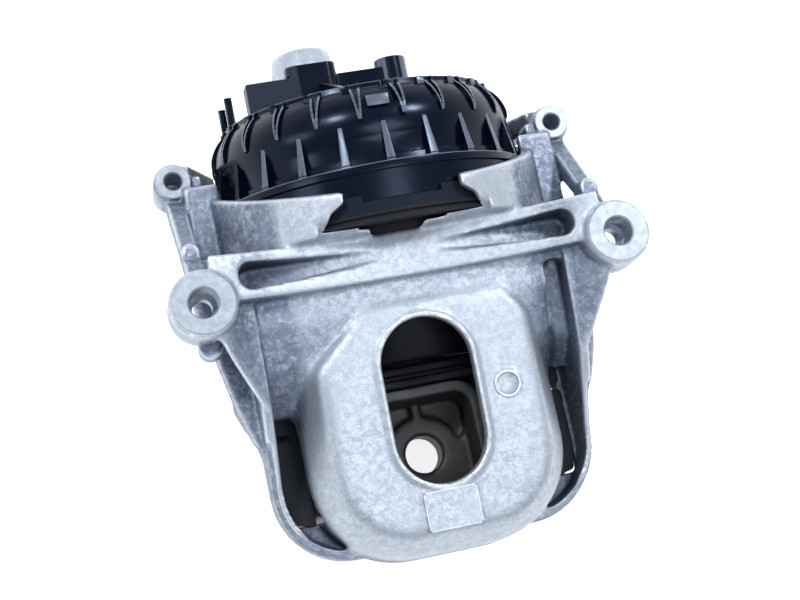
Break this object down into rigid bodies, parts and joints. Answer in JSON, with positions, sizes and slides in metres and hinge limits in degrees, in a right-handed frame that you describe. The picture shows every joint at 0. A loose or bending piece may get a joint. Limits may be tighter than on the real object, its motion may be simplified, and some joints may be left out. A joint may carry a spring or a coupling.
{
  "type": "hydraulic engine mount",
  "caption": "Hydraulic engine mount: cast housing with bolting eyes and a windowed hood, rubber-sprung core, and a fluid chamber under a ribbed plastic cap.",
  "frame": {"origin": "midway between the machined faces of the two main eyes", "axes": "+X from the left main eye to the right one, +Y towards the plastic cap, +Z out of the machined eye faces; the part lies on its rear side"},
  "size_m": [0.167, 0.2135, 0.1317],
  "materials": {
    "cast_aluminium": "die cast, light mottling, machined eye faces",
    "cast_core": "fine cast, matt dark grey",
    "rubber": "matt moulded rubber",
    "buffer_rubber": "matt dark grey rubber",
    "ring_steel": "turned steel",
    "ring_plastic": "matt moulded plastic",
    "plate_aluminium": "cast and turned",
    "cap_plastic": "glossy black moulded plastic",
    "actuator_steel": "plated steel can",
    "connector_plastic": "satin black moulded plastic",
    "terminal_brass": "tinned brass"
  },
  "bodies": {
    "root": {"actuator": "actuator_steel", "actuator_seal": "rubber", "bellows": "rubber", "chamber_cap": "cap_plastic", "clamp_ring": "ring_steel", "connector_housing": "connector_plastic", "core": "cast_core", "decoupler_membrane": "rubber", "housing": "cast_aluminium", "inner_channel_plate": "plate_aluminium", "outer_channel_plate": "plate_aluminium", "rubber_spring": "rubber", "seal_ring": "rubber", "side_buffer_left": "buffer_rubber", "side_buffer_right": "buffer_rubber", "snubber": "rubber", "spring_ring": "ring_steel", "support_ring": "ring_plastic", "terminal_1": "terminal_brass", "terminal_2": "terminal_brass"}
  },
  "joints": []
}
